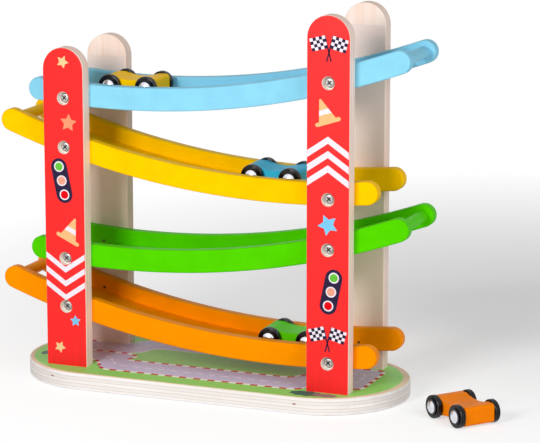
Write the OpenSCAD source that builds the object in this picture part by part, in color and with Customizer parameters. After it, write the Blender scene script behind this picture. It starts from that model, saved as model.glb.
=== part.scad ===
// Click clack track toy: four curved wooden tracks step down between two pairs of posts
// on a printed plywood base. A small car rolls down a track, drops through the open low
// end, turns over and runs the other way on the track below. Millimetres, +Z up,
// +X to the right seen from the front, origin at the middle of the base's underside.

/* [Base board] */
// Length of the base board, end to end
base_l = 345; // [300:1:420]
// Width of the base board, front to back
base_w = 142; // [130:1:200]
// Thickness of the base board
base_t = 14.7; // [12:0.1:24]
// Radius of the softened edges of the base board
base_edge_r = 1.6; // [0.5:0.1:4]

/* [Posts] */
// Distance between the left and right posts, centre to centre
post_spacing = 240; // [200:1:250]
// Width of a post, which is also the width of its round top
post_w = 37.5; // [28:0.5:44]
// Thickness of a post
post_t = 12.5; // [10:0.5:18]
// Height of the two left posts above the base board
left_post_h = 277; // [270:1:400]
// Height of the two right posts above the base board
right_post_h = 316.5; // [300:0.5:420]
// Radius of the softened edges of a post
post_edge_r = 1; // [0.3:0.1:2.5]

/* [Tracks] */
// Clear width between the two rails of a track
channel_w = 54.5; // [50:0.5:70]
// Thickness of a rail
rail_t = 10; // [8:0.5:14]
// Height of a rail, which is also the width of its round ends
rail_h = 19.7; // [19:0.1:22]
// Radius of the softened edges of a rail
rail_edge_r = 1.5; // [0.5:0.1:3]
// Radius of the middle line of every rail, seen from the front
track_arc_r = 722; // [680:1:1500]
// Distance of a track's lowest point from the middle of the toy
low_point_x = 73.5; // [60:0.5:90]
// Distance of the round end's centre from the middle, at a track's high end
high_end_x = 176; // [165:1:200]
// Distance of the round end's centre from the middle, at a track's low end
low_end_x = 149; // [140:1:165]
// Height of the lowest track's middle line above the base board, at its lowest point
first_track_h = 26; // [22:0.5:40]
// Height from one track to the next
track_pitch = 69.5; // [62:0.1:80]
// Thickness of a track's floor
floor_t = 4; // [3:0.5:5]
// Depth of a track's floor below the top edge of its rails
floor_drop = 13; // [12:0.1:14]
// Depth to which a floor's edges are housed in the rails
floor_seat = 3; // [2:0.5:5]
// Distance of a floor's low end from the middle of the toy
floor_low_x = 112; // [100:1:120]
// Diameter of the stop dowel at a track's high end
dowel_d = 10; // [8:0.5:12]
// Depth of the stop dowel in each rail
dowel_seat = 4; // [3:0.5:6]
// Open gap between the stop dowel and the floor
stop_gap = 7.5; // [5:0.5:9]

/* [Rail screws] */
// Drop of a screw below the rail's middle line, at a track's low end
low_screw_drop = 2.3; // [0:0.1:3]
// Diameter of a rail screw's shank
screw_d = 3.5; // [3:0.1:4.5]
// Diameter of a rail screw's head
screw_head_d = 8.5; // [6:0.1:9.5]
// Height of a rail screw's head
screw_head_h = 2.4; // [1.8:0.1:3]
// Diameter of the counterbore that sinks a head in its post
counterbore_d = 11.5; // [10:0.1:14]
// Depth of the counterbore
counterbore_depth = 5; // [4:0.5:7]

/* [Base screws] */
// Diameter of a base screw's shank
base_screw_d = 4; // [3.5:0.1:5]
// Diameter of a base screw's countersunk head
base_screw_head_d = 8; // [7:0.1:10]
// Depth to which a base screw enters a post
base_screw_grip = 24; // [15:1:40]
// Distance between the two screws of a post
base_screw_pitch = 18; // [12:1:20]

/* [Cars] */
// Distance between a car's two axles
wheelbase = 34; // [28:0.5:40]
// Width of a car's wooden body
car_body_w = 28; // [24:0.5:30]
// Half the height of a car body's ends, which also stand out so far from the axles
car_end_r = 8; // [7:0.1:9]
// Radius of the corners of a car body's ends
car_corner_r = 3.2; // [1:0.1:6]
// Thickness of a car body at its waist
car_waist_t = 10.5; // [8:0.1:13]
// Diameter of a wheel over its tread
wheel_d = 19.5; // [18.5:0.1:21]
// Width of a wheel's tread
tread_w = 5; // [4:0.1:6]
// Diameter of the raised ring on a wheel's face
wheel_ring_d = 14.8; // [12:0.1:16]
// Height of the raised ring above the wheel's face
wheel_ring_h = 1; // [0.5:0.1:1.5]
// Diameter of a hub cap
hub_cap_d = 10.8; // [8:0.1:11]
// Height of a hub cap's dome
hub_cap_h = 2.6; // [1.8:0.1:3.5]
// Diameter of an axle
axle_d = 3; // [2:0.1:4]

/* [Where the cars stand] */
// Yellow car on the blue track, along it from the lowest point
yellow_car_along = -1; // [-20:0.5:150]
// Blue car on the yellow track, along it from the lowest point
blue_car_along = -17; // [-150:0.5:20]
// Green car on the orange track, along it from the lowest point
green_car_along = -1; // [-150:0.5:20]
// Orange car on the table, to the right of the middle
table_car_x = 234; // [230:1:400]
// Orange car on the table, behind the middle
table_car_y = -35; // [-60:1:60]
// Heading of the orange car on the table, in degrees
table_car_heading = -38; // [-50:1:-30]

/* [Hidden] */
$fn = 96;
arc_fn = 1080;
edge_fn = 32;

// Colours as painted
birch = "#E5D3C5";
red = "#FA2D2B";
zinc = "#C9CBCE";
steel = "#B4B7BA";
black = "#1B1A20";
silver = "#DADDE2";
function paint(name) = name == "blue" ? "#99DFF9" : name == "yellow" ? "#FFD500"
    : name == "green" ? "#62DC01" : "#FC9B03";
function car_paint(name) = name == "blue" ? "#2DA5C8" : name == "yellow" ? "#FFC800"
    : name == "green" ? "#50C814" : "#FA8200";

// Clearances: a pin in its wooden hole, an axle in its bore, a wheel over its floor,
// a wheel beside its car body, a floor in its groove
pin_clear = 0.05;
axle_clear = 0.08;
press_clear = 0.02;
wheel_gap = 0.3;
wheel_side_gap = 0.5;
groove_clear = 0.05;
join_step = 0.02;
overrun = 1;

// Tracks from the lowest up; the high end is at the left (-1) or at the right (1)
TRACKS = ["orange", "green", "yellow", "blue"];
high_side = [-1, 1, -1, 1];
track_mid_z = [for (k = [0:len(TRACKS) - 1]) base_t + first_track_h + k * track_pitch];
function arc_x(k) = -high_side[k] * low_point_x;
function arc_z(k) = track_mid_z[k] + track_arc_r;

// Angles along a track are measured at the arc's centre from straight down, + to the right
high_end_a = asin((high_end_x + low_point_x) / track_arc_r);
low_end_a = asin((low_end_x - low_point_x) / track_arc_r);
floor_top_r = track_arc_r - rail_h / 2 + floor_drop;
floor_low_a = asin((floor_low_x - low_point_x) / floor_top_r);
floor_stop_back = dowel_d / 2 + stop_gap;
floor_high_a = high_end_a - floor_stop_back / floor_top_r * 180 / PI;
function span(k, high, low) = high_side[k] > 0 ? [-low, high] : [-high, low];
function rail_span(k) = span(k, high_end_a, low_end_a);
function floor_span(k) = span(k, floor_high_a, floor_low_a);
function on_arc(k, a, r) = [arc_x(k) + r * sin(a), 0, arc_z(k) - r * cos(a)];

// Post and rail planes, front to back
rail_out_y = channel_w / 2 + rail_t;
post_mid_y = rail_out_y + post_t / 2;
post_out_y = rail_out_y + post_t;
post_h = [left_post_h, right_post_h];
rail_edge = min(rail_edge_r, rail_t / 3);
post_edge = min(post_edge_r, post_t / 3);
base_edge = min(base_edge_r, base_t / 3);
function post_a(k, side) = asin((side * post_spacing / 2 - arc_x(k)) / track_arc_r);

// Rail screws and their blind holes stop short of the far face of their rail
screw_tip_back = 1;
screw_hole_back = screw_tip_back / 2;
screw_tip_h = 3;
screw_l = post_t - counterbore_depth + rail_t - screw_tip_back;
cross_w = 1;
cross_l = 4.8;
cross_depth = 1.4;
base_screw_l = base_t + base_screw_grip;
base_screw_head_h = (base_screw_head_d - base_screw_d) / 2;
base_screw_sink = 0.5;

// Cars
CARS = ["yellow", "blue", "green", "orange"];
car_track = [3, 2, 0];
car_along = [yellow_car_along, blue_car_along, green_car_along];
wheel_r = wheel_d / 2;
axle_line_r = sqrt(pow(floor_top_r - wheel_gap - wheel_r, 2) - pow(wheelbase / 2, 2));
wheel_in_y = car_body_w / 2 + wheel_side_gap;
wheel_out_y = wheel_in_y + tread_w;
axle_l = 2 * (wheel_out_y + wheel_ring_h);
shoulder_r = tread_w / 5;
groove_w = tread_w / 10;
groove_depth = tread_w / 12;
face_groove_w = (wheel_d - wheel_ring_d) / 10;
ring_in_r = hub_cap_d / 2 + press_clear;
hub_cap_rim = hub_cap_h / 3;
cap_dome_h = hub_cap_h - hub_cap_rim;
cap_dome_r = (pow(hub_cap_d / 2, 2) + pow(cap_dome_h, 2)) / (2 * cap_dome_h);

// The waist's big arcs touch the round ends of the body without a corner
waist_half = car_waist_t / 2;
waist_r = (pow(wheelbase / 2, 2) + pow(waist_half, 2) - pow(car_end_r, 2)) / (2 * (car_end_r - waist_half));
waist_share = car_end_r / (car_end_r + waist_r);
waist_x = wheelbase / 2 * (1 - waist_share);
waist_z = (waist_r + waist_half) * waist_share;

POSTS = ["front_left", "front_right", "rear_left", "rear_right"];
post_side = [-1, 1, -1, 1];
post_row = [-1, -1, 1, 1];
TRACK_PIECES = ["front_rail", "rear_rail", "floor", "stop_dowel"];
CAR_PIECES = ["car_body", "car_front_axle", "car_rear_axle", "car_front_wheels", "car_rear_wheels",
    "car_front_hub_caps", "car_rear_hub_caps"];

// Shared shapes

// A rectangle about the origin with softened corners
module soft_rect(w, h, r) {
    square([w - 2 * r, h], center = true);
    square([w, h - 2 * r], center = true);
    for (x = [-1, 1], y = [-1, 1])
        translate([x * (w / 2 - r), y * (h / 2 - r)])
            circle(r, $fn = edge_fn);
}

// The right half of a softened rectangle, to be turned about its straight edge
module half_soft_rect(w, h, r) {
    intersection() {
        soft_rect(w, h, r);
        translate([0, -h / 2])
            square([w / 2, h]);
    }
}

// Sweeps a profile (x = radius, y = depth) round track k's centre
module along_track(k, span) {
    translate([arc_x(k), 0, arc_z(k)])
        rotate([90, 0, 0])
            rotate([0, 0, span[0] - 90])
                rotate_extrude(angle = span[1] - span[0], $fn = arc_fn)
                    children();
}

// The round end of a softened bar, turned about Z. It stays a hair inside the bar's own
// faces, so that the two join cleanly
module round_end(w, t, r) {
    rotate_extrude()
        half_soft_rect(w - 2 * join_step, t - 2 * join_step, r);
}

// A hole or pin along Y
module along_y(d, from_y, to_y) {
    translate([0, from_y, 0])
        rotate([-90, 0, 0])
            cylinder(d = d, h = to_y - from_y);
}

// Base board

module base_board() {
    straight = base_l - base_w;
    color(birch)
        difference() {
            union() {
                rotate([90, 0, 90])
                    translate([0, base_t / 2, -straight / 2])
                        linear_extrude(straight)
                            soft_rect(base_w, base_t, base_edge);
                for (side = [-1, 1])
                    translate([side * straight / 2, 0, base_t / 2])
                        round_end(base_w, base_t, base_edge);
            }
            at_base_screws()
                base_screw_hole();
        }
}

module at_base_screws() {
    for (p = [0:len(POSTS) - 1], side = [-1, 1])
        translate([(post_side[p] * post_spacing + side * base_screw_pitch) / 2,
                post_row[p] * post_mid_y, 0])
            children();
}

module base_screw_hole() {
    hole_d = base_screw_d + 2 * pin_clear;
    head_d = base_screw_head_d + 2 * pin_clear;
    translate([0, 0, -overrun])
        cylinder(d = hole_d, h = base_screw_l + overrun);
    translate([0, 0, -overrun])
        cylinder(d = head_d, h = overrun + base_screw_sink);
    translate([0, 0, base_screw_sink])
        cylinder(d1 = head_d, d2 = hole_d, h = base_screw_head_h);
}

module base_screws() {
    tip_h = base_screw_d;
    color(steel)
        at_base_screws()
            translate([0, 0, base_screw_sink])
                difference() {
                    union() {
                        cylinder(d1 = base_screw_head_d, d2 = base_screw_d, h = base_screw_head_h);
                        cylinder(d = base_screw_d, h = base_screw_l - base_screw_sink - tip_h);
                        translate([0, 0, base_screw_l - base_screw_sink - tip_h])
                            cylinder(d1 = base_screw_d, d2 = base_screw_d / 4, h = tip_h - pin_clear);
                    }
                    cross_recess();
                }
}

// The cross-shaped drive in a screw head, sunk from z = 0 upwards
module cross_recess() {
    for (a = [0, 90])
        rotate([0, 0, a])
            translate([-cross_l / 2, -cross_w / 2, -overrun])
                cube([cross_l, cross_w, cross_depth + overrun]);
}

// Posts

module post(p) {
    h = post_h[(post_side[p] + 1) / 2];
    straight = h - post_w / 2;
    color(p < 2 ? red : birch)
        difference() {
            translate([post_side[p] * post_spacing / 2, post_row[p] * post_mid_y, base_t]) {
                linear_extrude(straight)
                    soft_rect(post_w, post_t, post_edge);
                translate([0, 0, straight])
                    rotate([90, 0, 0])
                        round_end(post_w, post_t, post_edge);
            }
            for (k = [0:len(TRACKS) - 1])
                at_rail_screw(k, p)
                    post_screw_hole();
            at_base_screws()
                base_screw_hole();
        }
}

// Puts a rail screw's frame on the outer face of post p, with +Y into the wood
module at_rail_screw(k, p) {
    drop = post_side[p] == high_side[k] ? 0 : low_screw_drop;
    translate(on_arc(k, post_a(k, post_side[p]), track_arc_r))
        rotate([0, 0, post_row[p] < 0 ? 0 : 180])
            translate([0, -post_out_y, -drop])
                children();
}

module post_screw_hole() {
    along_y(counterbore_d, -overrun, counterbore_depth);
    along_y(screw_d + 2 * pin_clear, 0, post_t + overrun);
}

module post_screws(p) {
    color(zinc)
        for (k = [0:len(TRACKS) - 1])
            at_rail_screw(k, p)
                translate([0, counterbore_depth, 0])
                    rail_screw();
}

// A pan-head screw with its seat at y = 0 and its shank along +Y
module rail_screw() {
    crown_r = screw_head_h * 2 / 3;
    difference() {
        union() {
            rotate([90, 0, 0])
                rotate_extrude()
                    intersection() {
                        soft_rect(screw_head_d, 2 * screw_head_h, crown_r);
                        square([screw_head_d, screw_head_h]);
                    }
            along_y(screw_d, -press_clear, screw_l - screw_tip_h);
            translate([0, screw_l - screw_tip_h, 0])
                rotate([-90, 0, 0])
                    cylinder(d1 = screw_d, d2 = screw_d / 4, h = screw_tip_h);
        }
        translate([0, -screw_head_h, 0])
            rotate([-90, 0, 0])
                rotate([0, 0, 45])
                    cross_recess();
    }
}

// Tracks

module rail(k, row) {
    span = rail_span(k);
    dowel_reach = channel_w / 2 + dowel_seat;
    color(paint(TRACKS[k]))
        difference() {
            translate([0, row * (channel_w + rail_t) / 2, 0]) {
                along_track(k, span)
                    translate([track_arc_r, 0])
                        soft_rect(rail_h, rail_t, rail_edge);
                for (a = span)
                    translate(on_arc(k, a, track_arc_r))
                        rotate([90, 0, 0])
                            round_end(rail_h, rail_t, rail_edge);
            }
            floor_groove(k, row);
            translate(on_arc(k, high_side[k] * high_end_a, track_arc_r))
                along_y(dowel_d + 2 * pin_clear, -dowel_reach, dowel_reach);
            for (p = [0:len(POSTS) - 1])
                if (post_row[p] == row)
                    at_rail_screw(k, p)
                        along_y(screw_d + 2 * pin_clear, post_t - overrun, post_t + rail_t - screw_hole_back);
        }
}

module floor_groove(k, row) {
    groove_a = groove_clear / floor_top_r * 180 / PI;
    span = floor_span(k);
    depth = floor_seat + groove_clear;
    along_track(k, [span[0] - groove_a, span[1] + groove_a])
        translate([floor_top_r - groove_clear, -row * channel_w / 2 - (row > 0 ? depth : overrun)])
            square([floor_t + 2 * groove_clear, depth + overrun]);
}

module track_floor(k) {
    width = channel_w + 2 * floor_seat;
    color(paint(TRACKS[k]))
        along_track(k, floor_span(k))
            translate([floor_top_r, -width / 2])
                square([floor_t, width]);
}

module stop_dowel(k) {
    half = channel_w / 2 + dowel_seat - pin_clear;
    color(paint(TRACKS[k]))
        translate(on_arc(k, high_side[k] * high_end_a, track_arc_r))
            along_y(dowel_d, -half, half);
}

// Cars, drawn along X about the middle between their axles

module place_car(c) {
    if (c < len(car_track)) {
        k = car_track[c];
        translate([arc_x(k), 0, arc_z(k)])
            rotate([0, -car_along[c] / floor_top_r * 180 / PI, 0])
                translate([0, 0, -axle_line_r])
                    children();
    } else {
        translate([table_car_x, table_car_y, wheel_r])
            rotate([0, 0, table_car_heading])
                children();
    }
}

module car_body(c) {
    color(car_paint(CARS[c]))
        place_car(c)
            difference() {
                rotate([90, 0, 0])
                    translate([0, 0, -car_body_w / 2])
                        linear_extrude(car_body_w)
                            car_outline();
                for (end = [-1, 1])
                    translate([end * wheelbase / 2, 0, 0])
                        along_y(axle_d + 2 * axle_clear, -car_body_w, car_body_w);
            }
}

module car_outline() {
    flat = car_end_r - car_corner_r;
    for (end = [-1, 1])
        translate([end * wheelbase / 2, 0]) {
            circle(car_end_r);
            translate([end * flat / 2, 0])
                square([flat, 2 * car_end_r], center = true);
            translate([end * car_end_r / 2, 0])
                square([car_end_r, 2 * flat], center = true);
            for (side = [-1, 1])
                translate([end * flat, side * flat])
                    circle(car_corner_r);
        }
    difference() {
        square([2 * waist_x, 2 * waist_z], center = true);
        for (end = [-1, 1])
            translate([0, end * (waist_r + waist_half)])
                circle(waist_r, $fn = arc_fn);
    }
}

module car_axle(c, end) {
    color(steel)
        place_car(c)
            translate([end * wheelbase / 2, 0, 0])
                along_y(axle_d, -axle_l / 2, axle_l / 2);
}

module car_wheels(c, end) {
    color(black)
        place_car(c)
            translate([end * wheelbase / 2, 0, 0])
                for (side = [0, 1])
                    rotate([0, 0, 180 * side])
                        wheel();
}

// A wheel whose face looks along +Y
module wheel() {
    bore_r = axle_d / 2 + press_clear;
    rotate([-90, 0, 0])
        translate([0, 0, wheel_in_y])
            rotate_extrude()
                difference() {
                    union() {
                        translate([0, tread_w / 2])
                            half_soft_rect(wheel_d, tread_w, shoulder_r);
                        square([wheel_ring_d / 2, tread_w + wheel_ring_h]);
                    }
                    translate([0, -overrun])
                        square([bore_r, tread_w + wheel_ring_h + 2 * overrun]);
                    translate([0, tread_w])
                        square([ring_in_r, wheel_ring_h + overrun]);
                    translate([wheel_ring_d / 2, tread_w - groove_depth])
                        square([face_groove_w, groove_depth + overrun]);
                    for (share = [1 / 3, 2 / 3])
                        translate([wheel_r - groove_depth, share * tread_w - groove_w / 2])
                            square([groove_depth + overrun, groove_w]);
                }
}

module car_hub_caps(c, end) {
    color(silver)
        place_car(c)
            translate([end * wheelbase / 2, 0, 0])
                for (side = [0, 1])
                    rotate([0, 0, 180 * side])
                        hub_cap();
}

// A domed cap pressed on the axle's end, inside the wheel's ring
module hub_cap() {
    rotate([-90, 0, 0])
        translate([0, 0, wheel_out_y])
            rotate_extrude()
                difference() {
                    union() {
                        square([hub_cap_d / 2, hub_cap_rim]);
                        intersection() {
                            translate([0, hub_cap_h - cap_dome_r])
                                circle(cap_dome_r);
                            translate([0, hub_cap_rim])
                                square([hub_cap_d / 2, cap_dome_h]);
                        }
                    }
                    translate([0, -overrun])
                        square([axle_d / 2 + press_clear, wheel_ring_h + overrun + press_clear]);
                }
}

// Nodes

base_board();
base_screws();
for (p = [0:len(POSTS) - 1]) {
    post(p);
    post_screws(p);
}
for (k = [0:len(TRACKS) - 1]) {
    rail(k, -1);
    rail(k, 1);
    track_floor(k);
    stop_dowel(k);
}
for (c = [0:len(CARS) - 1]) {
    car_body(c);
    car_axle(c, 1);
    car_axle(c, -1);
    car_wheels(c, 1);
    car_wheels(c, -1);
    car_hub_caps(c, 1);
    car_hub_caps(c, -1);
}
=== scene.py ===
from bisect import bisect
from math import ceil, cos, pi, radians, sin

import bmesh
import bpy
from bpy.props import FloatProperty, FloatVectorProperty, PointerProperty
from bpy.types import Operator, Panel, PropertyGroup
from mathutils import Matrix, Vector


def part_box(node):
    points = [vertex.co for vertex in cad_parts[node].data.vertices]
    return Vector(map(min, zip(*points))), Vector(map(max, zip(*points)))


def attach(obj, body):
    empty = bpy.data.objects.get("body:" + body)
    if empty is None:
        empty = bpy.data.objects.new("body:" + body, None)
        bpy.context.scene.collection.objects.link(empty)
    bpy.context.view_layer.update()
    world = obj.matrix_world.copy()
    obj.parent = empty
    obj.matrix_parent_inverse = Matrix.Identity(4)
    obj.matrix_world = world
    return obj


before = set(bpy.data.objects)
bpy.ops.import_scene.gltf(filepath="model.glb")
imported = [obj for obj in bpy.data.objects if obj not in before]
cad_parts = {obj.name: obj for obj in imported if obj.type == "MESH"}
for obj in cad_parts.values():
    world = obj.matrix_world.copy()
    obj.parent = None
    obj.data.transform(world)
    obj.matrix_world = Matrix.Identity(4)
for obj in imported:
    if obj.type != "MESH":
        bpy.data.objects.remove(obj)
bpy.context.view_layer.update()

bl_info = {
    "name": "Click clack track toy",
    "version": (1, 0, 0),
    "blender": (4, 5, 0),
    "location": "3D View > Sidebar > Track Toy",
    "description": "Finishes the pieces of a wooden click clack track toy and lights it",
    "category": "Object",
}

# Lengths in this file are metres unless a comment says otherwise; MM turns millimetres into them
MM = 0.001
X, Y, Z = range(3)
TRACKS = ("orange", "green", "yellow", "blue")
CARS = ("yellow", "blue", "green", "orange")
POSTS = ("front_left", "front_right", "rear_left", "rear_right")
STAND = "stand"

# The posts and the base board are of this many plies, and no glue line is drawn within this share
# of a ply from their faces
PLIES = 5
PLY_MARGIN = 0.05
# Two screws of a post are at least this far apart
SCREW_GAP = 12 * MM
# The drive in a screw's head lies within this radius, and below this depth it is painted dark:
# painted shade in its cross recess
DRIVE_R = 2.7 * MM
DRIVE_SHADE_DEPTH = 0.2 * MM
# A post's face is red to this depth and the base board's bare wood is warm to it. Cut wood shows
# below it
SKIN = 0.35 * MM
# A print's plates reach this deep into the wood, and each layer lies this far above the last one
INK_DEPTH = 0.2 * MM
INK_STEP = 0.04 * MM
# The tracks in which the screws' tips show, lowest first. A tip is stepped: how many layers high
# each step is, and its share of the width
TIPPED_TRACKS = TRACKS[:2]
TIP_LAYERS = ((4, 1.0), (9, 0.7), (13, 0.4))
# The car bodies' softened edges
SOFT_EDGE = 0.7 * MM
SOFT_EDGE_STEPS = 3
SOFT_EDGE_ANGLE = 50


def paint_property(name, description, red, green, blue):
    """A colour that a user can change, held as it shows on a screen."""
    return FloatVectorProperty(
        name=name, description=description, subtype="COLOR_GAMMA", size=3, min=0, max=1,
        default=(red / 255, green / 255, blue / 255))


def length_property(name, description, millimetres):
    """A length that a user can change."""
    return FloatProperty(
        name=name, description=description, subtype="DISTANCE", unit="LENGTH", min=0,
        default=millimetres * MM, precision=5)


def share_property(name, description, default):
    """A plain number from 0 to 1 that a user can change."""
    return FloatProperty(
        name=name, description=description, subtype="FACTOR", min=0, max=1, default=default)


def angle_property(name, description, degrees):
    """An angle that a user can change."""
    return FloatProperty(
        name=name, description=description, subtype="ANGLE", default=radians(degrees))


class TrackToyPaint(PropertyGroup):
    """Colours and gloss of the painted tracks and cars."""
    blue: paint_property("Blue track", "Paint of the top track", 135, 205, 231)
    yellow: paint_property("Yellow track", "Paint of the second track from the top", 255, 196, 1)
    green: paint_property("Green track", "Paint of the third track from the top", 80, 206, 1)
    orange: paint_property("Orange track", "Paint of the lowest track", 252, 145, 1)
    blue_car: paint_property("Blue car", "Paint of the blue car", 58, 188, 226)
    yellow_car: paint_property("Yellow car", "Paint of the yellow car", 255, 200, 4)
    green_car: paint_property("Green car", "Paint of the green car", 97, 216, 10)
    orange_car: paint_property("Orange car", "Paint of the orange car", 246, 130, 7)
    roughness: share_property("Roughness", "How dull the paint is", 0.42)


class TrackToyWood(PropertyGroup):
    """The bare plywood of the posts and the base board."""
    pale: paint_property("Pale wood", "The lightest streaks of a post's face", 254, 236, 225)
    warm: paint_property("Warm wood", "The darkest streaks of a post's face", 250, 218, 200)
    cross: paint_property("Cross ply", "A ply of a post whose fibres run across", 246, 222, 210)
    glue: paint_property("Glue line", "The thin line between two plies of a post", 218, 186, 165)
    sanded: paint_property(
        "Sanded ply", "The lightest plies in the base board's edge", 240, 239, 239)
    sanded_cross: paint_property(
        "Sanded cross ply", "The darker plies in the base board's edge", 231, 226, 222)
    sanded_glue: paint_property(
        "Sanded glue line", "The thin lines in the base board's edge", 198, 178, 162)
    rim: paint_property("Rim", "Bare wood round the base board's print", 240, 214, 188)
    # Painted light: the walls round the sunk screws are painted paler than the wood, so that the
    # deep holes look lit inside
    bore_painted_light: paint_property("Bored wood", "The walls round the sunk screws", 246, 238, 228)
    knot: paint_property("Knot", "The small knots in the base board's edge", 138, 84, 58)
    post_ply: length_property("Post ply", "Thickness of a ply of a post", 2.5)
    base_ply: length_property("Base ply", "Thickness of a ply of the base board", 2.94)
    glue_share: share_property(
        "Glue share", "Share of a ply's thickness that its glue line takes", 0.1)
    bore_reach: length_property(
        "Bore reach", "Radius round a screw's axis within which the wood is bored", 6.2)
    knot_length: length_property("Knot length", "Length of a knot in the base board's edge", 3.6)


class TrackToyPrint(PropertyGroup):
    """Inks of the prints on the posts and the base board."""
    red: paint_property("Red", "Ground of the posts' outer faces", 244, 28, 26)
    white: paint_property("White", "Chevrons, rings, bands and flags", 234, 225, 234)
    navy: paint_property("Navy", "Traffic light, flag squares and poles", 46, 38, 64)
    peach: paint_property("Peach", "Cones", 243, 184, 126)
    salmon: paint_property("Salmon", "The large star on the left posts", 243, 148, 110)
    pale_star: paint_property("Pale yellow", "The small stars", 238, 200, 144)
    sky: paint_property("Light blue", "The blue stars", 119, 193, 232)
    lamp_green: paint_property("Green lamp", "Top lamp of a traffic light", 100, 188, 62)
    lamp_amber: paint_property("Amber lamp", "Middle lamp of a traffic light", 230, 158, 132)
    lamp_red: paint_property("Red lamp", "Bottom lamp of a traffic light", 224, 10, 22)
    grass: paint_property("Grass", "Field round the road", 152, 222, 112)
    road: paint_property("Road", "Surface of the road", 208, 204, 236)
    kerb_white: paint_property(
        "Kerb white", "White blocks of the kerbs, and the road's lines", 255, 250, 253)
    kerb: paint_property("Kerb red", "Red blocks of the kerbs", 206, 38, 52)
    bush: paint_property("Bush", "Bushes beside the road", 58, 104, 92)
    stone: paint_property("Stone", "Flat stones beside the road", 142, 128, 128)
    field_length: length_property("Print length", "Length of the base board's print", 334.7)
    field_width: length_property("Print width", "Width of the base board's print", 137.0)
    kerb_width: length_property("Kerb width", "Width of a kerb", 3.0)
    kerb_block: length_property("Kerb block", "Length of one block of a kerb", 6.5)
    dash_width: length_property("Dash width", "Width of a dash between the lanes", 1.2)
    dash_length: length_property("Dash length", "Length of a dash between the lanes", 6.0)


class TrackToyMetal(PropertyGroup):
    """Screws, axles, wheels and hub caps."""
    tyre: paint_property("Wheel", "Plastic of the wheels", 12, 10, 14)
    cap: paint_property("Hub cap", "Metal of the hub caps", 238, 240, 248)
    screw: paint_property("Screw", "Metal of the screws", 192, 190, 187)
    # Painted shade: the colour painted into the cross recess of a sunk screw's head. The screw tips
    # take it, made lighter, as their own dark steel
    drive: paint_property("Screw drive", "The dark cross in a sunk screw's head", 44, 38, 34)
    tip_width: length_property(
        "Screw tip width", "Width of a screw's tip on a rail's inner face", 2.3)


class TrackToyStage(PropertyGroup):
    """Light, floor and camera."""
    floor: paint_property("Floor", "Colour of the floor", 247, 246, 247)
    lamp_power: FloatProperty(
        name="Main lamp", description="Power of the main lamp in watts", unit="POWER",
        default=8.7, min=0)
    lamp_size: length_property("Lamp size", "Width of the main lamp's square face", 360.0)
    fill_power: FloatProperty(
        name="Side lamp", description="Power of the side lamp in watts", unit="POWER",
        default=10.8, min=0)
    fill_size: length_property("Side lamp size", "Width of the side lamp's square face", 1000.0)
    world: FloatProperty(
        name="Surround", description="Strength of the light all round", default=0.28, min=0)
    glow: share_property(
        "Floor glow", "Share of white in what the camera sees of the floor near the toy", 0.2)
    lens: FloatProperty(
        name="Lens", description="Focal length in millimetres", unit="CAMERA", default=180.05,
        min=1)
    azimuth: angle_property("Azimuth", "The camera's turn round the toy from the front", 21.881)
    elevation: angle_property("Elevation", "How steeply the camera looks down", 12.024)


def linear(colour):
    """The colour as Blender's light sums need it, by the sRGB curve, with full opacity."""
    def decoded(c):
        return c / 12.92 if c <= 0.04045 else ((c + 0.055) / 1.055) ** 2.4
    return (*map(decoded, colour), 1.0)


def shade(colour, factor):
    """The colour made darker, or lighter where factor is over 1."""
    return tuple(min(1.0, c * factor) for c in colour)


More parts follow.
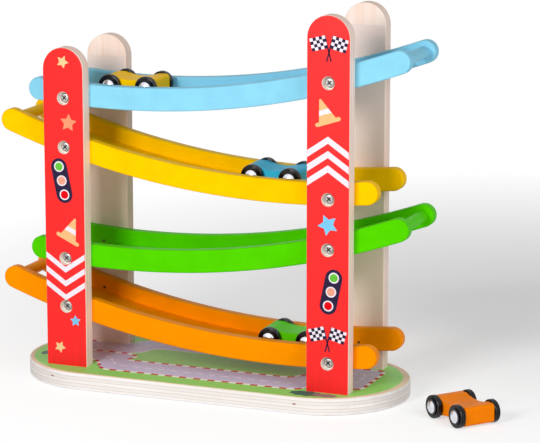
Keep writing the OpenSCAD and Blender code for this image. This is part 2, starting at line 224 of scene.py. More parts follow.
class Finish:
    """A material in the making: a Principled shader and short calls that add what feeds it."""

    # A Mix node's sockets for colours share their names with those for numbers, so they are
    # found by their places
    MIX_FIRST, MIX_SECOND, MIX_RESULT = 6, 7, 2

    def __init__(self, name):
        self.material = bpy.data.materials.new(name)
        self.material.use_nodes = True
        self.tree = self.material.node_tree
        self.tree.nodes.clear()
        self.shader = self.add("ShaderNodeBsdfPrincipled")
        output = self.add("ShaderNodeOutputMaterial")
        self.feed(self.shader.outputs["BSDF"], output.inputs["Surface"])
        self.spot = self.add("ShaderNodeTexCoord").outputs["Object"]

    def add(self, kind, **settings):
        """Adds a node and sets what is given."""
        node = self.tree.nodes.new(kind)
        for key, value in settings.items():
            setattr(node, key, value)
        return node

    def feed(self, value, socket):
        """Links an output to a socket, or sets a plain value on the socket itself."""
        if isinstance(value, bpy.types.NodeSocket):
            self.tree.links.new(value, socket)
        else:
            socket.default_value = value

    def set(self, **values):
        """Sets or feeds the shader's sockets, named with _ for a space."""
        for key, value in values.items():
            self.feed(value, self.shader.inputs[key.replace("_", " ")])

    def math(self, operation, first, second=0.0):
        """One sum on one or two values."""
        node = self.add("ShaderNodeMath", operation=operation)
        self.feed(first, node.inputs[0])
        self.feed(second, node.inputs[1])
        return node.outputs[0]

    def axes(self):
        """The place on the piece along X, Y and Z."""
        node = self.add("ShaderNodeSeparateXYZ")
        self.feed(self.spot, node.inputs[0])
        return node.outputs

    def noise(self, size, detail=3.0, distortion=0.0, along=None, grain_axis=None):
        """Noise with specks about size wide, and about along long where the grain runs."""
        place = self.add("ShaderNodeMapping")
        self.feed(self.spot, place.inputs["Vector"])
        steps = [along if axis == grain_axis else size for axis in (X, Y, Z)]
        self.feed([1 / step for step in steps], place.inputs["Scale"])
        node = self.add("ShaderNodeTexNoise")
        self.feed(place.outputs[0], node.inputs["Vector"])
        self.feed(1.0, node.inputs["Scale"])
        self.feed(detail, node.inputs["Detail"])
        self.feed(distortion, node.inputs["Distortion"])
        return node.outputs["Fac"]

    def remap(self, value, low, high, to_low=0.0, to_high=1.0):
        """Value stretched from low..high to to_low..to_high, and held within them."""
        node = self.add("ShaderNodeMapRange")
        for socket, given in zip(node.inputs, (value, low, high, to_low, to_high)):
            self.feed(given, socket)
        return node.outputs[0]

    def mix(self, share, first, second):
        """The first colour where share is 0, and the second where it is 1."""
        node = self.add("ShaderNodeMix", data_type="RGBA")
        self.feed(share, node.inputs["Factor"])
        self.feed(first, node.inputs[self.MIX_FIRST])
        self.feed(second, node.inputs[self.MIX_SECOND])
        return node.outputs[self.MIX_RESULT]

    def shades(self, share, colour, first, second):
        """One colour at its first shade where share is 0, and at its second where it is 1."""
        return self.mix(share, linear(shade(colour, first)), linear(shade(colour, second)))

    def from_axes(self, x, heights):
        """How far a place is from the nearest of the axes along Y at x and at the heights."""
        place = self.axes()
        nearest = None
        for height in heights:
            gap = self.math("ABSOLUTE", self.math("SUBTRACT", place[Z], height))
            nearest = self.math("MINIMUM", nearest, gap) if nearest else gap
        across = self.math("POWER", self.math("SUBTRACT", place[X], x), 2.0)
        return self.math("SQRT", self.math("ADD", across, self.math("POWER", nearest, 2.0)))

    def bump(self, height, strength, distance):
        """Makes the surface uneven without moving it."""
        node = self.add("ShaderNodeBump")
        self.feed(height, node.inputs["Height"])
        self.feed(strength, node.inputs["Strength"])
        self.feed(distance, node.inputs["Distance"])
        self.feed(node.outputs[0], self.shader.inputs["Normal"])


def dress(node, material):
    """Gives a CAD node or a piece one material all over."""
    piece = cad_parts[node] if isinstance(node, str) else node
    if not piece.material_slots:
        piece.data.materials.append(material)
    for slot in piece.material_slots:
        slot.material = material


def painted_wood(name, colour, paint):
    """Satin paint on wood: soft mottling, faint fibres along X, highlights in the paint's hue."""
    finish = Finish(name)
    fibres = finish.noise(1.1 * MM, along=28 * MM, grain_axis=X, detail=4.0, distortion=0.3)
    mottling = finish.noise(16 * MM)
    tone = finish.shades(finish.remap(mottling, 0.3, 0.7), colour, 0.975, 1.015)
    tone = finish.mix(
        finish.remap(fibres, 0.52, 0.72, 0.0, 0.1), tone, linear(shade(colour, 0.85)))
    dullness = finish.remap(fibres, 0.3, 0.7, paint.roughness - 0.05, paint.roughness + 0.08)
    finish.set(
        Base_Color=tone, Roughness=dullness, Specular_IOR_Level=0.08,
        Specular_Tint=linear(colour))
    finish.bump(fibres, 0.16, 0.05 * MM)
    return finish.material


def plywood(finish, colours, layer_axis, layer_start, ply, glue_share, grain_axis):
    """The colour and fibre height of plywood whose plies are stacked along layer_axis.

    The colours are a face ply's pale and dark streaks, a cross ply and the glue.
    """
    pale, warm, cross, glue = colours
    fibres = finish.noise(
        1.6 * MM, along=60 * MM, grain_axis=grain_axis, detail=5.0, distortion=0.4)
    streaks = finish.noise(
        11 * MM, along=150 * MM, grain_axis=grain_axis, detail=2.0, distortion=0.8)
    face = finish.mix(finish.remap(streaks, 0.34, 0.66), linear(pale), linear(warm))
    face = finish.mix(
        finish.remap(fibres, 0.5, 0.75, 0.0, 0.25), face, linear(shade(warm, 0.88)))
    pores = finish.noise(0.7 * MM, detail=2.0)
    crossed = finish.shades(finish.remap(pores, 0.35, 0.65), cross, 1.0, 0.97)
    depth = finish.math("SUBTRACT", finish.axes()[layer_axis], layer_start)
    level = finish.math("DIVIDE", depth, ply)
    odd = finish.math(
        "GREATER_THAN", finish.math("PINGPONG", finish.math("FLOOR", level), 1.0), 0.5)
    tone = finish.mix(odd, face, crossed)
    to_line = finish.math("PINGPONG", level, 0.5)
    line = finish.remap(to_line, glue_share * 0.3, glue_share, 0.75, 0.0)
    from_middle = finish.math("ABSOLUTE", finish.math("SUBTRACT", level, PLIES / 2))
    inside = finish.math("LESS_THAN", from_middle, PLIES / 2 - PLY_MARGIN)
    return finish.mix(finish.math("MULTIPLY", line, inside), tone, linear(glue)), fibres


def ink(name, colour):
    """Printing ink on wood: even, with the fibres just showing."""
    finish = Finish(name)
    fibres = finish.noise(0.9 * MM, detail=4.0)
    finish.set(
        Base_Color=finish.shades(finish.remap(fibres, 0.35, 0.7), colour, 1.03, 0.93),
        Roughness=finish.remap(fibres, 0.3, 0.7, 0.4, 0.54), Specular_IOR_Level=0.3,
        Specular_Tint=linear(colour))
    finish.bump(fibres, 0.12, 0.03 * MM)
    return finish.material


def box_of(node):
    """Lowest and highest corner of a CAD node as vectors."""
    low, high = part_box(node)
    return Vector(low), Vector(high)


def post_face(post):
    """The middle of a post's foot on its outer face, and the direction in which it faces."""
    low, high = box_of(post + "_post")
    facing = -1 if post.startswith("front") else 1
    return Vector(((low.x + high.x) / 2, high.y if facing > 0 else low.y, low.z)), facing


def screw_heights(post):
    """The heights of the sunk screws in a post, lowest first, read from their node."""
    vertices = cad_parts[post + "_post_screws"].data.vertices
    rows = [[]]
    for height in sorted(vertex.co.z for vertex in vertices):
        if rows[-1] and height - rows[-1][-1] > SCREW_GAP:
            rows.append([])
        rows[-1].append(height)
    return [(row[0] + row[-1]) / 2 for row in rows]


def turned(points, turn, centre):
    """Points turned clockwise by turn about their origin, then moved to centre."""
    c, s = cos(turn), sin(turn)
    return [(centre[0] + u * c + v * s, centre[1] - u * s + v * c) for u, v in points]


class Stencil:
    """A print in the making: flat shapes with their inks, laid on a face in layers."""

    def __init__(self, name, to_space):
        self.name = name
        self.to_space = to_space
        self.mesh = bmesh.new()
        self.inks = []

    def shape(self, outline, colour, layer=1):
        """Adds a shape as a thin closed plate. Its outline is in metres on the face."""
        if colour not in self.inks:
            self.inks.append(colour)
        top = [self.mesh.verts.new(self.to_space(u, v, layer * INK_STEP)) for u, v in outline]
        bottom = [self.mesh.verts.new(self.to_space(u, v, -INK_DEPTH)) for u, v in outline]
        faces = [self.mesh.faces.new(top), self.mesh.faces.new(bottom[::-1])]
        for k in range(len(outline)):
            after = (k + 1) % len(outline)
            faces.append(self.mesh.faces.new((top[k], bottom[k], bottom[after], top[after])))
        for face in faces:
            face.material_index = self.inks.index(colour)

    def motif(self, outline, colour, layer=1, turn=0, centre=(0, 0)):
        """Adds a shape given in millimetres, turned clockwise by turn degrees and moved."""
        placed = turned(outline, radians(turn), centre)
        self.shape([(u * MM, v * MM) for u, v in placed], colour, layer)

    def piece(self, inks):
        """Makes the object, which rides on the stand."""
        self.mesh.normal_update()
        bmesh.ops.triangulate(self.mesh, faces=self.mesh.faces[:], ngon_method="EAR_CLIP")
        bmesh.ops.recalc_face_normals(self.mesh, faces=self.mesh.faces[:])
        data = bpy.data.meshes.new(self.name)
        self.mesh.to_mesh(data)
        self.mesh.free()
        for colour in self.inks:
            data.materials.append(inks[colour])
        piece = bpy.data.objects.new(self.name, data)
        bpy.context.collection.objects.link(piece)
        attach(piece, STAND)
        return piece


# Sizes of the motifs on a post, in millimetres, with turns in degrees clockwise seen from outside
STAR_POINTS = 5
STAR_INNER_SHARE = 0.51
LAMP_PITCH = 12.3
LAMP_R = 3.5
LAMP_RING_R = 4.6
LIGHT_HALF_W = 7.5
LIGHT_HALF_L = 12.0
CONE_H = 19.8
CONE_FOOT_W = 23.0
CONE_FOOT_T = 3.4
CONE_BODY_W = 16.6
CONE_TIP_W = 2.2
CONE_TIP_SHIFT = -1.0
CONE_TIP_STEPS = 12
CONE_BAND_SHARES = (0.35, 0.57)
FLAG_W = 13.8
FLAG_H = 10.8
FLAG_LEAN = 15
FLAG_COLUMNS = 5
FLAG_ROWS = 4
POLE_W = 1.2
POLE_UP = 14.6
POLE_DOWN = 7.6
CHEVRON_HALF_W = 18.2
CHEVRON_SLOPE = 12.6 / 18.7
CHEVRON_COUNT = 3

# Where the motifs are, in millimetres: how far to the right of the post's middle and how far above
# the base board, and then a star's radius, turn and ink, or a traffic light's or cone's turn.
# Chevrons have their first tip's height, thickness, pitch, and 1 where the tips point up or else -1
LEFT_POST = {
    "star": [(0.1, 264.9, 5.8, 23, "pale_star"), (4.7, 212.9, 7.9, 5, "salmon"),
             (8.7, 40.2, 5.2, -2, "sky"), (-6.4, 15.9, 5.5, 26, "pale_star")],
    "traffic_light": [(-2.3, 162.5, -11.4)],
    "cone": [(2.5, 111.8, 25)],
    "chevrons": [(82.2, 5.1, -12.2, -1)],
    "flags": [],
}
RIGHT_POST = {
    "star": [(0.2, 143.1, 9.2, -26, "sky")],
    "traffic_light": [(3.2, 86.8, 11.6)],
    "cone": [(0.0, 229.0, -18)],
    "chevrons": [(216.9, 5.9, -11.9, 1)],
    "flags": [(0.5, 286.0), (0.2, 42.8)],
}


def disc(radius, centre=(0, 0), steps=48):
    """A round outline."""
    return [(centre[0] + radius * cos(2 * pi * k / steps),
             centre[1] + radius * sin(2 * pi * k / steps)) for k in range(steps)]


def capsule(half_length, radius, steps=24):
    """An upright bar with round ends."""
    top = [(radius * cos(pi * k / steps), half_length + radius * sin(pi * k / steps))
           for k in range(steps + 1)]
    return top + [(-u, -v) for u, v in top]


def draw_star(stencil, u, v, radius, turn, colour):
    """A star, tip up before its turn."""
    reaches = (radius, radius * STAR_INNER_SHARE) * STAR_POINTS
    outline = [(reach * sin(pi * k / STAR_POINTS), reach * cos(pi * k / STAR_POINTS))
               for k, reach in enumerate(reaches)]
    stencil.motif(outline, colour, 1, turn, (u, v))


def draw_traffic_light(stencil, u, v, turn):
    """A dark box with round ends and three ringed lamps."""
    stencil.motif(capsule(LIGHT_HALF_L, LIGHT_HALF_W), "navy", 1, turn, (u, v))
    for k, lamp in enumerate(("lamp_green", "lamp_amber", "lamp_red")):
        spot = (0, (1 - k) * LAMP_PITCH)
        stencil.motif(disc(LAMP_RING_R, spot), "white", 2, turn, (u, v))
        stencil.motif(disc(LAMP_R, spot), lamp, 3, turn, (u, v))


def draw_cone(stencil, u, v, turn):
    """A road cone: a body with a round tip, a foot with round ends and a white band."""
    def half_width(share):
        return (CONE_BODY_W + (CONE_TIP_W - CONE_BODY_W) * share) / 2
    tip_r = half_width(1)
    body_h = CONE_H - CONE_TIP_W / 2
    turns = [pi * k / CONE_TIP_STEPS for k in range(CONE_TIP_STEPS + 1)]
    tip = [(CONE_TIP_SHIFT + tip_r * cos(a), body_h + tip_r * sin(a)) for a in turns]
    stencil.motif([(-half_width(0), 0), (half_width(0), 0)] + tip, "peach", 1, turn, (u, v))
    foot = [(b, a) for a, b in capsule((CONE_FOOT_W - CONE_FOOT_T) / 2, CONE_FOOT_T / 2)]
    stencil.motif(foot[::-1], "peach", 2, turn, (u, v))
    low, high = CONE_BAND_SHARES
    band = [(CONE_TIP_SHIFT * share + side * half_width(share), share * body_h)
            for share, side in ((low, -1), (low, 1), (high, 1), (high, -1))]
    stencil.motif(band, "white", 2, turn, (u, v))


def draw_chevrons(stencil, tip_v, thickness, pitch, way):
    """Stripes across the post, bent at the middle, one below the other."""
    for k in range(CHEVRON_COUNT):
        tip = tip_v + k * pitch
        edge = tip - way * CHEVRON_SLOPE * CHEVRON_HALF_W
        stripe = [(-CHEVRON_HALF_W, edge), (0, tip), (CHEVRON_HALF_W, edge)]
        inner = [(a, b - way * thickness) for a, b in reversed(stripe)]
        stencil.motif(stripe + inner, "white")


def draw_flags(stencil, u, v):
    """Two chequered flags on crossed poles."""
    square_w, square_h = FLAG_W / FLAG_COLUMNS, FLAG_H / FLAG_ROWS
    for side in (-1, 1):
        turn = side * FLAG_LEAN
        pole = [(-POLE_W / 2, -POLE_DOWN), (POLE_W / 2, -POLE_DOWN),
                (POLE_W / 2, POLE_UP), (-POLE_W / 2, POLE_UP)]
        stencil.motif(pole, "navy", 1, turn, (u, v))
        for i in range(FLAG_COLUMNS):
            for j in range(FLAG_ROWS):
                near, far = side * i * square_w, side * i * square_w + side * square_w
                low = POLE_UP - (j + 1) * square_h
                high = low + square_h
                square = [(near, low), (far, low), (far, high), (near, high)]
                stencil.motif(square, "navy" if (i + j) % 2 else "white", 2, turn, (u, v))


DRAW = {"star": draw_star, "traffic_light": draw_traffic_light, "cone": draw_cone,
        "chevrons": draw_chevrons, "flags": draw_flags}


def all_inks(prints):
    """One ink for each colour of the prints, under its own name."""
    properties = prints.bl_rna.properties
    return {key: ink("ink_" + key, getattr(prints, key)) for key in properties.keys()
            if getattr(properties[key], "subtype", "") == "COLOR_GAMMA"}


class TRACKTOY_OT_tracks(Operator):
    """Paint the rails, floors and stop dowels of the four tracks"""
    bl_idname = "track_toy.tracks"
    bl_label = "Paint the Tracks"

    def execute(self, context):
        paint = context.scene.track_toy_paint
        for track in TRACKS:
            coat = painted_wood(track + "_paint", getattr(paint, track), paint)
            for part in ("front_rail", "rear_rail", "floor", "stop_dowel"):
                dress(track + "_" + part, coat)
        return {"FINISHED"}


class TRACKTOY_OT_posts(Operator):
    """Give the posts their plies and their red outer faces"""
    bl_idname = "track_toy.posts"
    bl_label = "Finish the Posts"

    def execute(self, context):
        wood, prints = context.scene.track_toy_wood, context.scene.track_toy_print
        colours = (wood.pale, wood.warm, wood.cross, wood.glue)
        for post in POSTS:
            spot, facing = post_face(post)
            finish = Finish(post + "_wood")
            bare, fibres = plywood(
                finish, colours, Y, spot.y, -facing * wood.post_ply, wood.glue_share, Z)
            from_screws = finish.from_axes(spot.x, screw_heights(post))
            # Painted light: within the bore reach round each screw's axis the wood is painted
            # paler, so that the holes look lit inside
            painted_light_in_bores = finish.math("LESS_THAN", from_screws, wood.bore_reach)
            bare = finish.mix(painted_light_in_bores, bare, linear(wood.bore_painted_light))
            depth = finish.math(
                "MULTIPLY", finish.math("SUBTRACT", finish.axes()[Y], spot.y), -facing)
            printed = finish.math("LESS_THAN", depth, SKIN)
            red = finish.shades(finish.remap(fibres, 0.35, 0.75), prints.red, 1.01, 0.965)
            finish.set(
                Base_Color=finish.mix(printed, bare, red),
                Roughness=finish.remap(printed, 0.0, 1.0, 0.66, 0.42), Specular_IOR_Level=0.3)
            finish.bump(fibres, 0.2, 0.06 * MM)
            dress(post + "_post", finish.material)
        return {"FINISHED"}


class TRACKTOY_OT_post_prints(Operator):
    """Print stars, lights, cones, chevrons and flags on the posts"""
    bl_idname = "track_toy.post_prints"
    bl_label = "Print the Posts"

    def execute(self, context):
        inks = all_inks(context.scene.track_toy_print)
        for post in POSTS:
            spot, facing = post_face(post)

            def on_face(u, v, height):
                return spot + Vector((-facing * u, facing * height, v))
            for motif, places in (LEFT_POST if post.endswith("left") else RIGHT_POST).items():
                for k, place in enumerate(places):
                    stencil = Stencil("%s_%s_%d" % (post, motif, k + 1), on_face)
                    DRAW[motif](stencil, *place)
                    stencil.piece(inks)
        return {"FINISHED"}


# Knots in the front of the base board's edge: (x, height above the underside), in millimetres.
# A knot is this many times as long as it is high
KNOTS = [(99, 8.8), (-126, 9.2)]
KNOT_STRETCH = 2.5


class TRACKTOY_OT_base(Operator):
    """Give the base board its plies"""
    bl_idname = "track_toy.base"
    bl_label = "Finish the Base Board"

    def execute(self, context):
        wood = context.scene.track_toy_wood
        colours = (wood.sanded, wood.sanded_cross, wood.sanded_cross, wood.sanded_glue)
        finish = Finish("base_wood")
        low, high = box_of("base_board")
        tone, fibres = plywood(finish, colours, Z, low.z, wood.base_ply, wood.glue_share, X)
        place = finish.axes()
        on_top = finish.math("GREATER_THAN", place[Z], high.z - SKIN)
        tone = finish.mix(on_top, tone, linear(wood.rim))
        half_l = wood.knot_length / 2
        for x, z in KNOTS:
            across = finish.math("DIVIDE", finish.math("SUBTRACT", place[X], x * MM), half_l)
            up = finish.math(
                "DIVIDE", finish.math("SUBTRACT", place[Z], low.z + z * MM),
                half_l / KNOT_STRETCH)
            out = finish.math(
                "ADD", finish.math("POWER", across, 2.0), finish.math("POWER", up, 2.0))
            front = finish.math("LESS_THAN", place[Y], 0.0)
            share = finish.math("MULTIPLY", finish.remap(out, 0.5, 1.3, 0.9, 0.0), front)
            tone = finish.mix(share, tone, linear(wood.knot))
        finish.set(Base_Color=tone, Roughness=0.62, Specular_IOR_Level=0.3)
        finish.bump(fibres, 0.2, 0.06 * MM)
        dress("base_board", finish.material)
        return {"FINISHED"}


# The print's grass lies a little askew on the board: its middle, and its turn in degrees
FIELD_SPOT = (-1.3 * MM, 0.0)
FIELD_TURN = 0.5

# The print on the base board. A corner is (x, y, how far from it the line starts to turn), in
# millimetres. The road lies between its outer and inner edges, and two kerbs reach into its
# turns. The front parts of the edges have striped kerbs and the rear parts a plain white line
OUTER_FRONT = [(-126, 36, 0), (-158, 36, 26), (-158, -23, 26), (-103, -23, 9), (-95, -38, 7),
               (-88, -49, 7), (91, -49, 7), (106, -30, 9), (143, -30, 8), (143, 33, 8),
               (116, 33, 0)]
OUTER_REAR = [(116, 33, 0), (102, 33, 9), (86, 58, 9), (-84, 58, 9), (-103, 36, 9),
              (-126, 36, 0)]
INNER_FRONT = [(-88, 6, 3), (-75, 0, 6), (-80, -14, 5), (74, -15, 5), (80, -4, 6), (90, 2, 3)]
INNER_REAR = [(90, 2, 3), (80, 12, 6), (72, 30, 8), (-72, 30, 8), (-78, 12, 8), (-88, 6, 3)]
TONGUES = [[(-124, 6, 0), (-88, 6, 0)], [(90, 2, 0), (118, 2, 0)]]
LANE_LINE = [(-143, -8, 12), (-99, -8, 8), (-82, -33, 9), (84, -33, 9), (100, -14, 9),
             (132, -14, 8), (132, 17, 8), (98, 17, 9), (80, 44, 9), (-77, 44, 9),
             (-92, 21, 9), (-143, 21, 12)]
# The layers of the print above the grass. The grass inside the road lies on the road's plate
ROAD_LAYER = 2
FIELD_INSIDE_LAYER = 3
DASH_LAYER = 3
EDGE_LINE_LAYER = 4
KERB_LAYER = 5
# Bushes and stones: (x, y, half width, half depth, ink, layer), in millimetres. Their edges have
# lobes
BUSHES = [(-156, -17, 4.6, 7.0, "bush", 2), (104, -57, 15, 7.5, "bush", 2),
          (121, -57.5, 11.5, 5.2, "stone", 3), (-148, 44, 8, 6, "bush", 2)]
BUSH_LOBES = 9
LOBE_STEPS = 8
LOBE_SHARE = 0.07
# In millimetres: a strip's edges have a point this often, and a line's direction is taken this
# far either way. A stretch of a line counts as no shorter than the last of these
STRIP_STEP = 1.5
STRIP_LOOK = 0.8
LEAST_STRETCH = 0.008


class Line:
    """A line on the base board with its corners rounded, along which strips are laid."""

    def __init__(self, corners, closed=False, steps=10):
        self.spots = []
        for k, (x, y, cut) in enumerate(corners):
            here = Vector((x, y))
            if not closed and k in (0, len(corners) - 1):
                self.spots.append(here)
                continue
            before, after = (Vector(corners[n % len(corners)][:2]) for n in (k - 1, k + 1))
            start = here + (before - here).normalized() * cut
            end = here + (after - here).normalized() * cut
            for n in range(steps + 1):
                t = n / steps
                self.spots.append(start * (1 - t) ** 2 + here * 2 * t * (1 - t) + end * t ** 2)
        if closed:
            self.spots.append(self.spots[0])
        self.reach = [0.0]
        for first, second in zip(self.spots, self.spots[1:]):
            self.reach.append(self.reach[-1] + (second - first).length)
        self.length = self.reach[-1]

    def spot(self, distance):
        """The place at a distance along the line."""
        k = min(max(bisect(self.reach, distance), 1), len(self.spots) - 1)
        stretch = max(self.reach[k] - self.reach[k - 1], LEAST_STRETCH)
        return self.spots[k - 1].lerp(self.spots[k], (distance - self.reach[k - 1]) / stretch)

    def strip(self, start, end, width):
        """The outline of a strip of the line, from one distance to another."""
        count = max(1, ceil((end - start) / STRIP_STEP))
        left, right = [], []
        for k in range(count + 1):
            distance = start + (end - start) * k / count
            ahead = self.spot(min(distance + STRIP_LOOK, self.length))
            ahead = ahead - self.spot(max(distance - STRIP_LOOK, 0))
            side = Vector((-ahead.y, ahead.x)).normalized() * width / 2
            left.append(tuple(self.spot(distance) + side))
            right.append(tuple(self.spot(distance) - side))
        return left + right[::-1]


def bush_outline(x, y, half_w, half_d):
    """A flat bush or stone with a lobed edge."""
    outline = []
    steps = BUSH_LOBES * LOBE_STEPS
    for k in range(steps):
        a = 2 * pi * k / steps
        r = 1 - LOBE_SHARE + LOBE_SHARE * cos(BUSH_LOBES * a)
        outline.append((x + half_w * r * cos(a), y + half_d * r * sin(a)))
    return outline


class TRACKTOY_OT_base_print(Operator):
    """Print grass, a road with kerbs and bushes on the base board"""
    bl_idname = "track_toy.base_print"
    bl_label = "Print the Base Board"

    def execute(self, context):
        prints = context.scene.track_toy_print
        inks = all_inks(prints)
        top = box_of("base_board")[1].z

        def on_board(x, y, height):
            return Vector((x, y, top + height))
        field = capsule(
            (prints.field_length - prints.field_width) / 2, prints.field_width / 2, steps=48)
        field = [(b, a) for a, b in field[::-1]]
        grass = Stencil("grass", on_board)
        grass.shape(turned(field, radians(FIELD_TURN), FIELD_SPOT), "grass")
        grass.piece(inks)

        road = Stencil("road", on_board)
        outside = Line(OUTER_FRONT[:-1] + OUTER_REAR[1:-1], closed=True)
        inside = Line(INNER_FRONT[:-1] + INNER_REAR[:-1], closed=True)
        road.motif(outside.spots[:-1], "road", ROAD_LAYER)
        road.motif(inside.spots[:-1], "grass", FIELD_INSIDE_LAYER)
        road.piece(inks)

        kerbs = Stencil("road_kerbs", on_board)
        width, block = prints.kerb_width / MM, prints.kerb_block / MM
        for corners in [OUTER_FRONT, INNER_FRONT] + TONGUES:
            line = Line(corners)
            blocks = max(1, round(line.length / block))
            for k in range(blocks):
                start, end = (line.length * n / blocks for n in (k, k + 1))
                colour = "kerb" if k % 2 else "kerb_white"
                kerbs.motif(line.strip(start, end, width), colour, KERB_LAYER)
        for corners in (OUTER_REAR, INNER_REAR):
            line = Line(corners)
            kerbs.motif(line.strip(0, line.length, width / 2), "kerb_white", EDGE_LINE_LAYER)
        kerbs.piece(inks)

        lane = Stencil("road_dashes", on_board)
        line = Line(LANE_LINE, closed=True)
        dash = prints.dash_length / MM
        pitch = line.length / round(line.length / (2 * dash))
        start = 0
        while start + dash < line.length:
            strip = line.strip(start, start + dash, prints.dash_width / MM)
            lane.motif(strip, "kerb_white", DASH_LAYER)
            start += pitch
        lane.piece(inks)

        bushes = Stencil("bushes", on_board)
        for *outline, colour, layer in BUSHES:
            bushes.motif(bush_outline(*outline), colour, layer)
        bushes.piece(inks)
        return {"FINISHED"}


class TRACKTOY_OT_screws(Operator):
    """Give the screws their metal"""
    bl_idname = "track_toy.screws"
    bl_label = "Finish the Screws"

    def execute(self, context):
        metal = context.scene.track_toy_metal
        for post in ("", *POSTS):
            node = post + "_post_screws" if post else "base_screws"
            finish = Finish(node + "_zinc")
            blotches = finish.noise(1.4 * MM)
            tone = finish.shades(finish.remap(blotches, 0.35, 0.65), metal.screw, 0.86, 1.0)
            if post:
                spot, facing = post_face(post)
                low, high = box_of(node)
                outer = high.y if facing > 0 else low.y
                depth = finish.math(
                    "MULTIPLY", finish.math("SUBTRACT", finish.axes()[Y], outer), -facing)
                from_screws = finish.from_axes(spot.x, screw_heights(post))
                # Painted shade: the cross recess of each head is painted dark below a shallow depth
                drive = finish.math(
                    "MULTIPLY", finish.math("LESS_THAN", from_screws, DRIVE_R),
                    finish.math("GREATER_THAN", depth, DRIVE_SHADE_DEPTH))
                tone = finish.mix(drive, tone, linear(metal.drive))
            finish.set(
                Base_Color=tone, Roughness=finish.remap(blotches, 0.3, 0.7, 0.3, 0.46),
                Metallic=1.0)
            finish.bump(blotches, 0.2, 0.05 * MM)
            dress(node, finish.material)
        return {"FINISHED"}


class TRACKTOY_OT_screw_tips(Operator):
    """Add the screw tips that show on the inner faces of the rails"""
    bl_idname = "track_toy.screw_tips"
    bl_label = "Add the Screw Tips"

    def execute(self, context):
        metal = context.scene.track_toy_metal
        finish = Finish("screw_tip_steel")
        spots = finish.noise(0.8 * MM)
        finish.set(
            Base_Color=finish.shades(spots, metal.drive, 1.5, 2.2), Roughness=0.4, Metallic=0.8)
        for post in POSTS:
            spot, facing = post_face(post)
            for track, height in zip(TIPPED_TRACKS, screw_heights(post)):
                low, high = box_of("%s_%s_rail" % (track, post.split("_")[0]))
                inner = low.y if facing > 0 else high.y

                def on_rail(u, v, out):
                    return Vector((spot.x + u, inner - facing * out, height + v))
                tip = Stencil("%s_%s_screw_tip" % (track, post), on_rail)
                for layer, share in TIP_LAYERS:
                    tip.shape(disc(metal.tip_width / 2 * share, steps=20), "tip", layer)
                tip.piece({"tip": finish.material})
        return {"FINISHED"}


class TRACKTOY_OT_cars(Operator):
    """Paint the car bodies and soften their edges"""
    bl_idname = "track_toy.cars"
    bl_label = "Paint the Cars"

    def execute(self, context):
        paint = context.scene.track_toy_paint
        for car in CARS:
            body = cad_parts[car + "_car_body"]
            dress(body, painted_wood(car + "_car_paint", getattr(paint, car + "_car"), paint))
            edge = body.modifiers.new("soft edges", "BEVEL")
            edge.width = SOFT_EDGE
            edge.segments = SOFT_EDGE_STEPS
            edge.limit_method = "ANGLE"
            edge.angle_limit = radians(SOFT_EDGE_ANGLE)
            edge.harden_normals = True
        return {"FINISHED"}


class TRACKTOY_OT_wheels(Operator):
    """Finish the wheels, hub caps and axles"""
    bl_idname = "track_toy.wheels"
    bl_label = "Finish the Wheels"

    def execute(self, context):
        metal = context.scene.track_toy_metal
        tyre = Finish("wheel_plastic")
        grain = tyre.noise(0.5 * MM)
        tyre.set(
            Base_Color=tyre.shades(tyre.remap(grain, 0.3, 0.7), metal.tyre, 1.0, 1.5),
            Roughness=tyre.remap(grain, 0.3, 0.7, 0.12, 0.2), Specular_IOR_Level=0.36)
        tyre.bump(grain, 0.1, 0.02 * MM)
        cap = Finish("hub_cap_metal")
        scuffs = cap.noise(2.2 * MM, detail=4.0)
        cap.set(
            Base_Color=cap.shades(cap.remap(scuffs, 0.3, 0.7), metal.cap, 1.0, 0.9),
            Roughness=cap.remap(scuffs, 0.3, 0.7, 0.12, 0.24), Metallic=1.0)
        axle = Finish("axle_steel")
        axle.set(
            Base_Color=axle.shades(axle.noise(0.8 * MM), metal.screw, 0.8, 1.0),
            Roughness=0.3, Metallic=1.0)
        for car in CARS:
            for end in ("front", "rear"):
                for part, finish in (("wheels", tyre), ("hub_caps", cap), ("axle", axle)):
                    dress("%s_car_%s_%s" % (car, end, part), finish.material)
        return {"FINISHED"}


# Where the camera and the lamps stand, where the lamps look, and how far the floor reaches
CAMERA_SPOT = (0.8844, -2.0800, 0.6228)
LAMP_SPOT = (-0.14, -1.13, 0.60)
FILL_SPOT = (1.35, -0.75, 0.86)
LAMP_AIM = (0.0, 0.0, 0.15)
FLOOR_REACH = 14.0
# Between these distances from a middle the floor, as it is seen, turns plain white
FADE_START = 0.1
FADE_END = 0.7
FADE_MIDDLE = (0.2, 0.35, 0.0)
WHITE = (1.0, 1.0, 1.0, 1.0)
BLACK = (0.0, 0.0, 0.0, 1.0)


def seen_share(tree):
    """A value that is 1 where the camera sees, also in gloss or through glass, and else 0."""
    path = tree.nodes.new("ShaderNodeLightPath").outputs
    seen = path["Is Camera Ray"]
    for kind in ("Is Glossy Ray", "Is Transmission Ray"):
        either = tree.nodes.new("ShaderNodeMath")
        either.operation = "MAXIMUM"
        tree.links.new(seen, either.inputs[0])
        tree.links.new(path[kind], either.inputs[1])
        seen = either.outputs[0]
    return seen


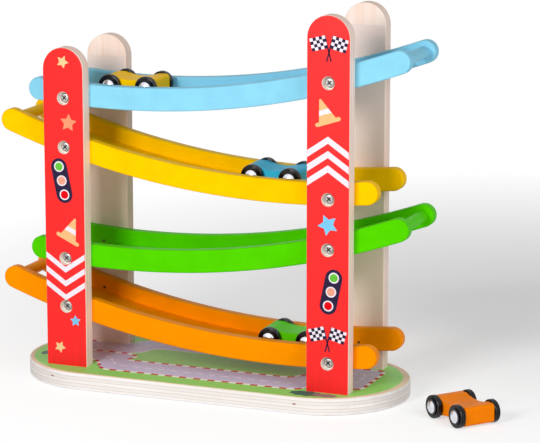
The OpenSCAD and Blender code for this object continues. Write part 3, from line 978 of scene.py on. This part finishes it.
class TRACKTOY_OT_stage(Operator):
    """Set up the floor, the light and the camera"""
    bl_idname = "track_toy.stage"
    bl_label = "Set the Stage"

    def execute(self, context):
        look = context.scene.track_toy_stage
        self.lay_floor(context, look)
        context.scene.world = self.surround(look.world)
        for name, spot, power, size in (
                ("main_lamp", LAMP_SPOT, look.lamp_power, look.lamp_size),
                ("side_lamp", FILL_SPOT, look.fill_power, look.fill_size)):
            lamp = bpy.data.lights.new(name, "AREA")
            lamp.energy = power
            lamp.size = size
            softbox = bpy.data.objects.new(name, lamp)
            softbox.location = spot
            away = Vector(spot) - Vector(LAMP_AIM)
            softbox.rotation_euler = away.to_track_quat("Z", "Y").to_euler()
            context.collection.objects.link(softbox)

        eye = bpy.data.cameras.new("camera")
        eye.lens = look.lens
        eye.sensor_width = 36.0
        eye.clip_end = 100.0
        camera = bpy.data.objects.new("camera", eye)
        camera.location = CAMERA_SPOT
        camera.rotation_euler = (pi / 2 - look.elevation, 0, look.azimuth)
        context.collection.objects.link(camera)
        context.scene.camera = camera
        context.scene.view_settings.view_transform = "Standard"
        return {"FINISHED"}

    def lay_floor(self, context, look):
        """Lays a floor that takes the toy's shadow and turns plain white further away."""
        data = bpy.data.meshes.new("floor")
        corners = [(x * FLOOR_REACH, y * FLOOR_REACH, 0)
                   for x, y in ((-1, -1), (1, -1), (1, 1), (-1, 1))]
        data.from_pydata(corners, [], [(0, 1, 2, 3)])
        floor = bpy.data.objects.new("floor", data)
        context.collection.objects.link(floor)
        finish = Finish("floor_paper")
        reach = finish.add("ShaderNodeVectorMath", operation="DISTANCE")
        finish.feed(finish.spot, reach.inputs[0])
        finish.feed(FADE_MIDDLE, reach.inputs[1])
        far = finish.remap(reach.outputs["Value"], FADE_START, FADE_END)
        seen = seen_share(finish.tree)
        glow = finish.remap(far, 0.0, 1.0, look.glow, 1.0)
        finish.set(
            Base_Color=finish.mix(finish.math("MULTIPLY", far, seen), linear(look.floor), BLACK),
            Roughness=0.8, Specular_IOR_Level=0.0, Emission_Color=WHITE,
            Emission_Strength=finish.math("MULTIPLY", glow, seen))
        floor.data.materials.append(finish.material)

    def surround(self, strength):
        """A world that is seen white and lights the toy with the strength given."""
        world = bpy.data.worlds.new("surround")
        world.use_nodes = True
        nodes, links = world.node_tree.nodes, world.node_tree.links
        light, shown = nodes["Background"], nodes.new("ShaderNodeBackground")
        light.inputs["Color"].default_value = WHITE
        light.inputs["Strength"].default_value = strength
        shown.inputs["Color"].default_value = WHITE
        mixed = nodes.new("ShaderNodeMixShader")
        links.new(seen_share(world.node_tree), mixed.inputs[0])
        links.new(light.outputs[0], mixed.inputs[1])
        links.new(shown.outputs[0], mixed.inputs[2])
        links.new(mixed.outputs[0], nodes["World Output"].inputs[0])
        return world


STEPS = (
    TRACKTOY_OT_stage, TRACKTOY_OT_tracks, TRACKTOY_OT_posts, TRACKTOY_OT_post_prints,
    TRACKTOY_OT_base, TRACKTOY_OT_base_print, TRACKTOY_OT_screws, TRACKTOY_OT_screw_tips,
    TRACKTOY_OT_cars, TRACKTOY_OT_wheels)
GROUPS = {
    "track_toy_paint": TrackToyPaint, "track_toy_wood": TrackToyWood,
    "track_toy_print": TrackToyPrint, "track_toy_metal": TrackToyMetal,
    "track_toy_stage": TrackToyStage}


class TRACKTOY_PT_panel(Panel):
    """Lists the steps that finish the toy"""
    bl_idname = "TRACKTOY_PT_panel"
    bl_label = "Click Clack Track Toy"
    bl_space_type = "VIEW_3D"
    bl_region_type = "UI"
    bl_category = "Track Toy"

    def draw(self, context):
        for step in STEPS:
            self.layout.operator(step.bl_idname)


def register():
    """Registers the settings, the operators and the panel."""
    for name, group in GROUPS.items():
        bpy.utils.register_class(group)
        setattr(bpy.types.Scene, name, PointerProperty(type=group))
    for cls in (*STEPS, TRACKTOY_PT_panel):
        bpy.utils.register_class(cls)


def unregister():
    """Takes away what register added."""
    for cls in (*STEPS, TRACKTOY_PT_panel):
        bpy.utils.unregister_class(cls)
    for name, group in GROUPS.items():
        delattr(bpy.types.Scene, name)
        bpy.utils.unregister_class(group)


def main():
    """Finishes the toy step by step."""
    register()
    for step in STEPS:
        space, name = step.bl_idname.split(".")
        getattr(getattr(bpy.ops, space), name)()


if __name__ == "__main__":
    main()
